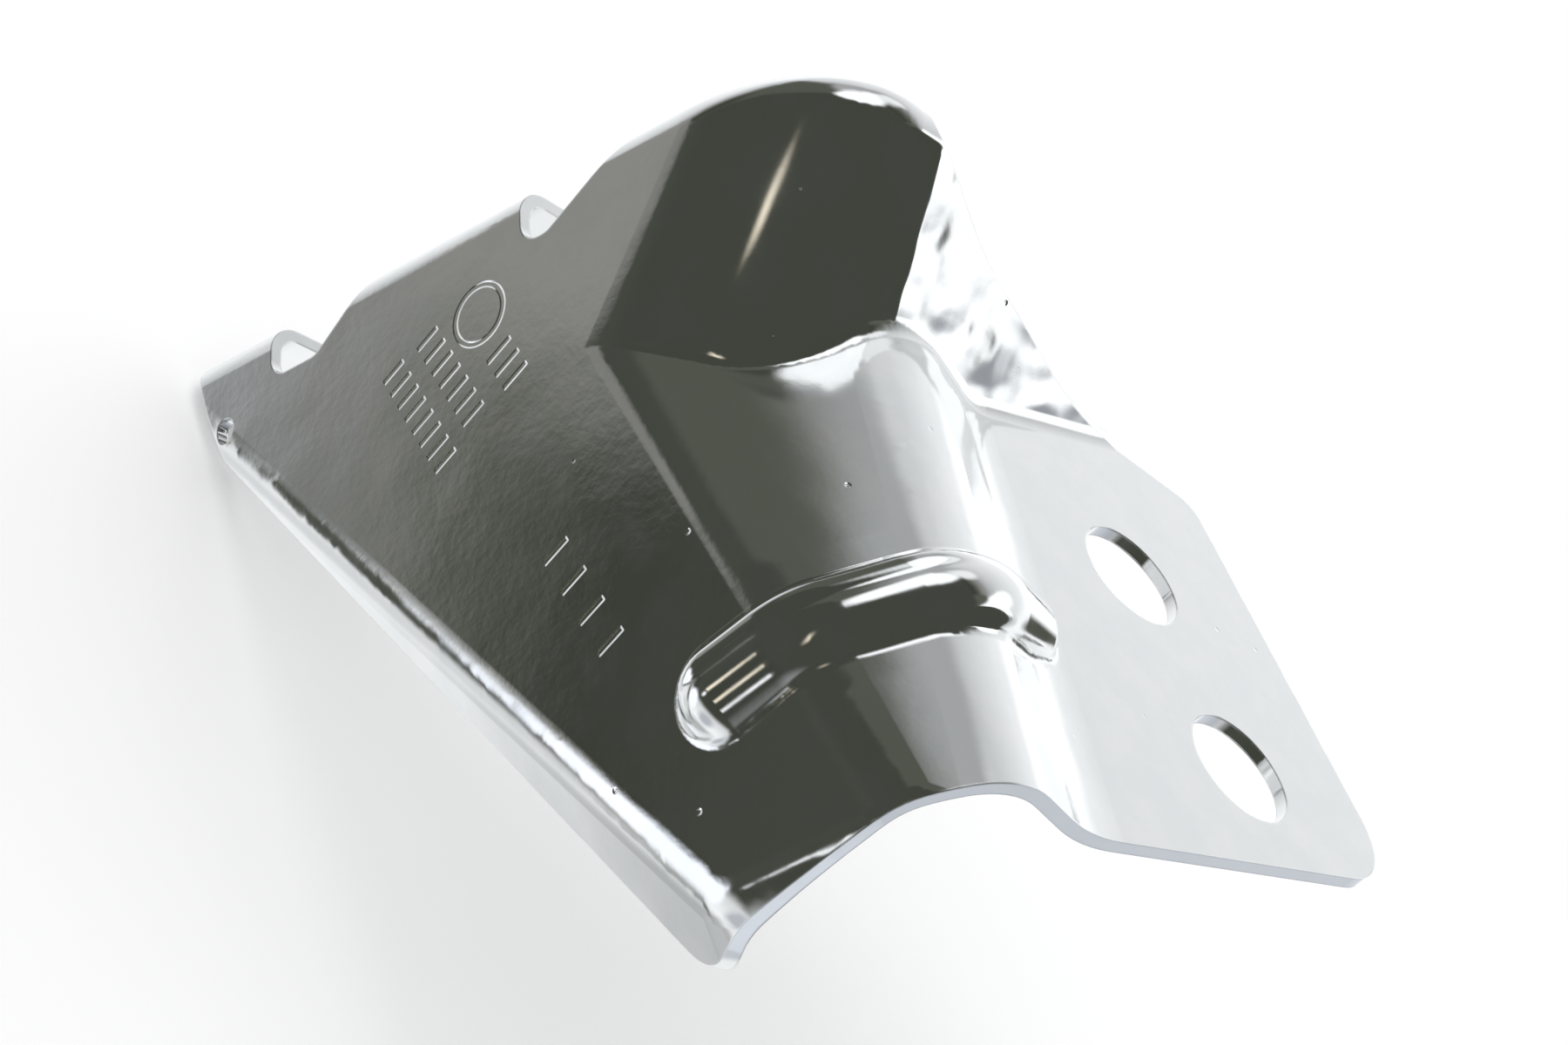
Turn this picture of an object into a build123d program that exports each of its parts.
from build123d import *
from math import cos, radians, sin, tan
import os

# Stamped mounting bracket: one blank of sheet steel, folded, drawn and pierced.
# The origin is the middle of the two-hole pattern on the top face of the bolt flange.
# +Z is the flange's outward normal, and +Y runs along the two holes towards the high wall.

# ---- driving dimensions, mm and degrees ----
sheet = 1.5

# bolt flange, the flat foot with the two holes
hole_diameter = 13.0
hole_pitch = 24.5
flange_right = 19.8
flange_right_lean = 4.2
flange_right_end = -40.0
flange_far = 32.9
flange_chamfer = (11.8, 25.7)
flange_chamfer_short = 0.8

# near cut edge, which runs from the bolt flange over the saddle to the side plate
near_cut = 24.15
near_cut_turn = 3.5
near_cut_lean = 3.0

# side plate, the large flat that stands beside the saddle
plate_offset = 54.4
plate_turn = 5.8
plate_lean = 9.5

# saddle, the raised roll between the bolt flange and the side plate, at two stations along Y
station_near = -21.0
station_far = 33.0
rise_foot_near = -31.5
rise_foot_far = -13.5
rise_slope = 22.0
flank_slope = 28.0
flank_level_near = 6.1
flank_level_far = -4.1
flank_reference = -47.5
plate_roll_near = 6.5
plate_roll_far = 9.0
crest_radius_near = 13.0
crest_radius_far = 16.0
foot_radius_near = 24.0
foot_radius_far = 14.0
# how far the saddle is ruled past its two stations, so that the cuts always find it
past_near = 6.0
past_far = 59.0

# high wall, which leans back from the far edge of the bolt flange
wall_lean = 38.0
wall_roll = 16.0
wall_crease = 2.5
# points (x, z) along its sloping free edge, and where the cut goes on to the left of them
wall_edge = ((-35.0, 22.8), (-28.0, 19.6), (-17.3, 12.1), (-8.0, 7.5), (1.3, 3.1), (7.8, 0.9), (11.8, 0.0))
wall_edge_left = (-51.0, 34.0)
wall_cut_start = 30.0

# hem, the flange folded square to the plate along its upper edge
hem_offset = 52.5
hem_angle = 73.4
hem_depth = 12.5
hem_bend = 4.0

# skirt, the stiffening flange along the plate's lower edge, and its wrap round the near corner
skirt_angle = 26.4
skirt_offset = 36.6
skirt_fold = 48.0
skirt_bend = 6.0
skirt_corner = 9.0
wrap_angle = 80.0
wrap_offset = 29.6
# the free edge runs from the left point to the tip, then turns up along the near cut, in plate coordinates
skirt_edge_left = (-80.0, -80.4)
skirt_tip = (26.5, -35.3)
near_side = (26.5, -9.0)
skirt_tip_radius = 7.0

# left end of the side plate
end_cut = -72.5
relief_radius = 1.5
relief_place = (-63.9, -70.5)

# two notches through the hem
# each notch is given by where its square side, its floor's end and its sloping side's end lie
hem_notches = ((-78.2, -71.0, -60.8), (-40.0, -36.5, -23.0))
notch_depth = 7.8
notch_round = 2.4

# bead, a stiffening rib pressed outwards over the saddle
bead_radius = 4.9
bead_sink = 1.9
# its spine starts at this point below the saddle, follows the saddle's section at this station,
# and stops this share of the way down the rise
bead_low = (-57.9, -1.3, -11.6)
bead_station = 0.2
bead_turn = 5.8
bead_stop = 0.9
bead_blend = 1.2

# corners of the blank: where each lies, and its radius
blank_corners = (((18.0, -24.1, -0.7), 8.0), ((21.7, 25.7, -0.7), 4.0))

# stock the sheet is trimmed from, and how far above and below the bolt flange its outline cuts
stock_size = (110.0, 130.0, 100.0)
stock_middle = (-30.0, 20.0, -24.0)
flange_trim = 100.0

# how far the solids that only cut or bound the form reach
reach = 150.0
# how far a cutter passes the face it clears, and how far it stands off past the hem
clearance = 0.2
stand_off = 5.0
# a point this close to a face lies on it
touch = 0.01


def outward(turn, lean):
    """Unit vector turned from +X about Z, then raised above the horizontal."""
    t = radians(turn)
    e = radians(lean)
    return Vector(cos(t) * cos(e), sin(t) * cos(e), sin(e))


plate_normal = outward(180 - plate_turn, plate_lean)
plate_across = Vector(0, 0, 1).cross(plate_normal).normalized()
plate_up = plate_normal.cross(plate_across)
plate_plane = Plane(origin=plate_normal * plate_offset, x_dir=plate_across, z_dir=plate_normal)


def in_plate(angle):
    """Direction square to a line drawn on the side plate at this angle, to the line's right."""
    return plate_across * sin(radians(angle)) - plate_up * cos(radians(angle))


def folded(angle):
    """Normal of a flange folded down from the side plate about a line drawn on it at this angle."""
    return plate_normal * cos(radians(skirt_fold)) + in_plate(angle) * sin(radians(skirt_fold))


# the flat faces that bound the form, each as (normal, point on it)
plate_foot = plate_normal * plate_offset
hem_normal = in_plate(hem_angle) * -1
plate_face = (plate_normal, plate_foot)
wall_face = (outward(-90, wall_lean), Vector(0, flange_far, 0))
hem_face = (hem_normal, plate_foot + hem_normal * hem_offset)
skirt_face = (folded(skirt_angle), plate_foot + in_plate(skirt_angle) * skirt_offset)
wrap_face = (folded(wrap_angle), plate_foot + in_plate(wrap_angle) * wrap_offset)


def section(y, inset):
    """Corners and bend radii of the saddle's section at one station, moved inwards by the inset."""
    length = station_far - station_near
    share = (y - station_near) / length
    foot_x = rise_foot_near + share * (rise_foot_far - rise_foot_near)
    level = flank_level_near + share * (flank_level_far - flank_level_near)
    rise = tan(radians(rise_slope))
    fall = tan(radians(flank_slope))
    # the rise and the flank as z = height - rise * x and z = height + fall * x,
    # each lowered square to itself by the inset
    skew = rise * (rise_foot_far - rise_foot_near) / length
    rise_z = rise * foot_x - inset * (1 + rise**2 + skew**2) ** 0.5
    skew = (flank_level_far - flank_level_near) / length
    flank_z = level - fall * flank_reference - inset * (1 + fall**2 + skew**2) ** 0.5
    n = plate_normal
    plate_x = (plate_offset - inset - n.Y * y) / n.X
    plate_per_z = -n.Z / n.X
    base = (plate_x - plate_per_z * reach, -reach)
    flank_end_z = (flank_z + fall * plate_x) / (1 - fall * plate_per_z)
    shoulder = (plate_x + plate_per_z * flank_end_z, flank_end_z)
    crest_x = (rise_z - flank_z) / (fall + rise)
    crest = (crest_x, rise_z - rise * crest_x)
    foot = ((rise_z + inset) / rise, -inset)
    plate_roll = plate_roll_near + share * (plate_roll_far - plate_roll_near) - inset
    crest_radius = crest_radius_near + share * (crest_radius_far - crest_radius_near) - inset
    foot_radius = foot_radius_near + share * (foot_radius_far - foot_radius_near) + inset
    return (base, shoulder, crest, foot), (plate_roll, crest_radius, foot_radius)


def saddle(inset):
    """Solid under the saddle and the bolt flange, ruled between two stations so that its bends taper."""
    near = station_near - past_near
    far = station_far + past_far
    slope = radians(rise_slope)
    arrive = []
    with BuildPart() as solid:
        for y in (near, far):
            (base, shoulder, crest, foot), (plate_roll, crest_radius, foot_radius) = section(y, inset)
            # the foot bend touches the rise and the flange this far from where they meet
            touching = foot_radius * tan(slope / 2)
            leave = (foot[0] - touching * cos(slope), foot[1] + touching * sin(slope))
            stop = (foot[0] + touching, foot[1])
            with BuildSketch(Plane(origin=(0, y, 0), x_dir=(1, 0, 0), z_dir=(0, -1, 0))):
                with BuildLine():
                    FilletPolyline(base, shoulder, crest, leave, radius=(plate_roll, crest_radius))
                    TangentArc(leave, stop, tangent=(cos(slope), -sin(slope)))
                    Polyline(stop, (stop[0], -reach), base)
                make_face()
            arrive.append((stop[0], y))
        loft(ruled=True)
        # the bolt flange goes on from the end of that bend as a true flat
        with BuildSketch(Plane.XY.offset(-inset)):
            with BuildLine():
                Polyline(*arrive, (reach, far), (reach, near), arrive[0])
            make_face()
        extrude(amount=-reach)
    return solid


def face_plane(face, inset):
    """Sketch plane of one bounding face, moved inwards by the inset."""
    normal, through = face
    return Plane(origin=through - normal * inset, z_dir=normal)


def shared(part, first, second, inset):
    """Edges of the part that lie on two of the bounding faces."""
    found = part.edges()
    for normal, through in (first, second):
        found = found.filter_by(lambda e: abs((e @ 0.5 - through).dot(normal) + inset) < touch)
    return found


def form(inset):
    """Solid under the outer face of the sheet, with every face moved inwards by the inset."""
    with BuildPart() as rear:
        # body behind the high wall, closed by the plate, with the drawn roll between them
        with BuildSketch(face_plane(wall_face, inset)):
            Rectangle(2 * reach, 2 * reach)
        extrude(amount=-reach)
        with BuildSketch(face_plane(plate_face, inset)):
            Rectangle(2 * reach, 2 * reach)
        extrude(amount=-reach, mode=Mode.INTERSECT)
        fillet(shared(rear, plate_face, wall_face, inset), wall_roll - inset)
    with BuildPart() as whole:
        add(saddle(inset))
        add(rear)
        for face in (hem_face, skirt_face, wrap_face):
            with BuildSketch(face_plane(face, inset)):
                Rectangle(3 * reach, 3 * reach)
            extrude(amount=-reach, mode=Mode.INTERSECT)
        fillet(shared(whole, skirt_face, wrap_face, inset), skirt_corner - inset)
        folds = shared(whole, plate_face, skirt_face, inset) + shared(whole, plate_face, wrap_face, inset)
        fillet(folds, skirt_bend - inset)
        fillet(shared(whole, plate_face, hem_face, inset), hem_bend - inset)
    return whole


def bead(inset):
    """The bead's own body: a round bar along the saddle's section, sunk a little below it."""
    low_x, low_y, low_z = bead_low
    (base, shoulder, crest, foot), (plate_roll, crest_radius, foot_radius) = section(bead_station, bead_sink)
    stop = (crest[0] + (foot[0] - crest[0]) * bead_stop, crest[1] + (foot[1] - crest[1]) * bead_stop)
    start = (low_x + bead_sink, low_z)
    turn = tan(radians(bead_turn))
    corners = [(x, low_y + turn * (x - low_x), z) for x, z in (start, shoulder, crest, stop)]
    with BuildPart() as bar:
        with BuildLine() as path:
            FilletPolyline(*corners, radius=(plate_roll, crest_radius))
        spine = path.wires()[0]
        with BuildSketch(Plane(origin=spine @ 0, z_dir=spine % 0)):
            Circle(bead_radius - inset)
        sweep(path=spine)
        with Locations(spine @ 0, spine @ 1):
            Sphere(bead_radius - inset)
    return bar


def creases(part):
    """Edges where the high wall meets the saddle and the bolt flange."""
    normal, through = wall_face
    return part.edges().filter_by(GeomType.BSPLINE).filter_by(
        lambda e: all(abs((e @ t - through).dot(normal)) < touch for t in (0.1, 0.9))
    )


with BuildPart() as outer:
    add(form(0))
    fillet(creases(outer), wall_crease)
    add(bead(0))
    fillet(outer.edges(Select.NEW), bead_blend)

with BuildPart() as inner:
    add(form(sheet))
    add(bead(sheet))

with BuildPart() as bracket:
    # the sheet is what lies between the outer form and the same form moved inwards
    add(outer)
    add(inner, mode=Mode.SUBTRACT)
    with Locations(stock_middle):
        Box(*stock_size, mode=Mode.INTERSECT)

    # near cut edge
    near_normal = outward(-90 - near_cut_turn, near_cut_lean)
    with BuildSketch(Plane(origin=near_normal * near_cut, z_dir=near_normal)):
        Rectangle(3 * reach, 3 * reach)
    extrude(amount=reach, mode=Mode.SUBTRACT)

    # outline of the bolt flange
    lean = sin(radians(flange_right_lean))
    chamfer_x, chamfer_y = flange_chamfer
    with BuildSketch(Plane.XY.offset(-flange_trim)):
        with BuildLine():
            Polyline(
                (-reach, reach),
                (chamfer_x, reach),
                (chamfer_x, flange_far - flange_chamfer_short),
                (flange_right + lean * chamfer_y, chamfer_y),
                (flange_right + lean * flange_right_end, flange_right_end),
                (flange_right + lean * flange_right_end, -reach),
                (-reach, -reach),
                (-reach, reach),
            )
        make_face()
    extrude(amount=2 * flange_trim, mode=Mode.INTERSECT)

    # sloping free edge of the high wall
    with BuildSketch(Plane(origin=(0, wall_cut_start, 0), x_dir=(1, 0, 0), z_dir=(0, -1, 0))):
        with BuildLine():
            edge = Spline(*wall_edge)
            left, high = wall_edge_left
            Polyline(edge @ 1, (reach, 0), (reach, reach), (left, reach), (left, high), edge @ 0)
        make_face()
    extrude(amount=-reach, mode=Mode.SUBTRACT)

    # depth of the hem
    with BuildSketch(plate_plane.offset(-hem_depth)):
        with Locations(Rotation(0, 0, hem_angle - 90)):
            with Locations((sheet + clearance - hem_offset - reach / 2, 0)):
                Rectangle(reach, 2 * reach)
    extrude(amount=-reach, mode=Mode.SUBTRACT)

    # left end, skirt edge and relief hole, all cut square to the side plate
    with BuildSketch(plate_plane):
        with Locations((0, end_cut - reach / 2)):
            Rectangle(2 * reach, reach)
        with BuildLine():
            FilletPolyline(skirt_edge_left, skirt_tip, near_side, radius=skirt_tip_radius)
            Polyline(near_side, (reach, near_side[1]), (reach, -reach))
            Polyline((reach, -reach), (-reach, -reach), (-reach, skirt_edge_left[1]), skirt_edge_left)
        make_face()
        with Locations(relief_place):
            Circle(relief_radius)
    extrude(amount=reach / 2, both=True, mode=Mode.SUBTRACT)

    # notches through the hem
    along_hem = Plane(origin=plate_foot, x_dir=hem_normal.cross(plate_normal), z_dir=plate_normal)
    mouth = hem_offset + stand_off
    floor = hem_offset - notch_depth
    for square_side, floor_end, slope_end in hem_notches:
        with BuildSketch(along_hem):
            with BuildLine():
                FilletPolyline(
                    (square_side, mouth),
                    (square_side, floor),
                    (floor_end, floor),
                    (slope_end, hem_offset),
                    radius=notch_round,
                )
                Polyline((slope_end, hem_offset), (slope_end, mouth), (square_side, mouth))
            make_face()
        extrude(amount=3 * hem_depth, both=True, mode=Mode.SUBTRACT)

    # corners of the blank, rounded along the short edges that run through the sheet
    for point, radius in blank_corners:
        corner = bracket.edges().filter_by(lambda e: e.length < 1.5 * sheet).sort_by_distance(point)[0]
        fillet(corner, radius)

    # the two bolt holes
    with Locations((0, -hole_pitch / 2, 0), (0, hole_pitch / 2, 0)):
        Hole(hole_diameter / 2)

os.makedirs("parts", exist_ok=True)
bracket.part.label = "bracket"
export_step(bracket.part, "parts/bracket.step")
